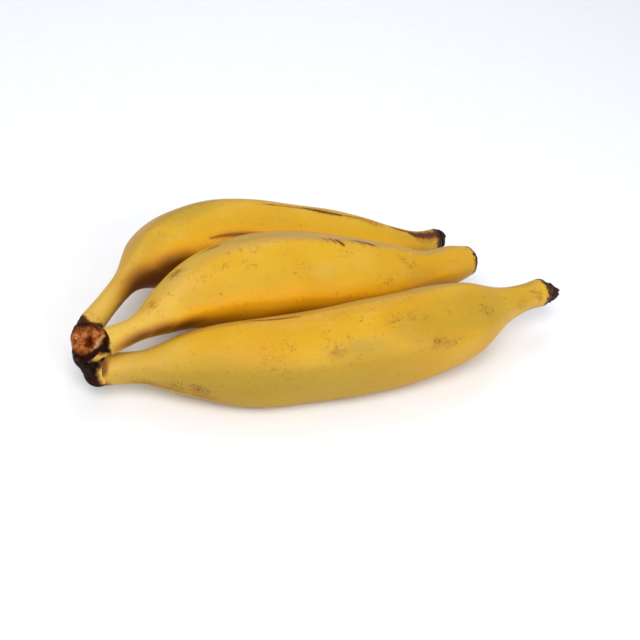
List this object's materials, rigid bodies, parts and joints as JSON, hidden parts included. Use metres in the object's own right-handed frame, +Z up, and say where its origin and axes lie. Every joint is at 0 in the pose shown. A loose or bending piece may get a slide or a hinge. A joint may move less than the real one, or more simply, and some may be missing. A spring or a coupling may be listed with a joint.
{
  "type": "plantain",
  "caption": "Hand of long, curved, ridged ripe plantains joined at a cut crown, lying on its side, with dried flower remnants at the tips.",
  "frame": {"origin": "centre of the bottom of the box round the whole hand, on the surface that it lies on", "axes": "+X from the crown to the fruit tips, +Y to the back as seen in the picture, +Z up"},
  "size_m": [0.2948, 0.1559, 0.0649],
  "materials": {
    "crown_skin": "dried black-brown crown skin with a tan fibrous knife cut, rough",
    "skin_front": "ripe yellow peel, satin, with small brown specks",
    "skin_middle": "ripe yellow peel, satin, with small brown specks",
    "skin_back": "ripe yellow peel, satin, with a dark streak along the ridge",
    "remnant_front": "dry, black-brown and rough",
    "remnant_middle": "dry, dark brown and rough",
    "remnant_back": "dry, black-brown and rough"
  },
  "bodies": {
    "root": {"crown": "crown_skin", "plantain_front": "skin_front", "plantain_middle": "skin_middle", "plantain_back": "skin_back", "flower_remnant_front": "remnant_front", "flower_remnant_middle": "remnant_middle", "flower_remnant_back": "remnant_back"}
  },
  "joints": []
}
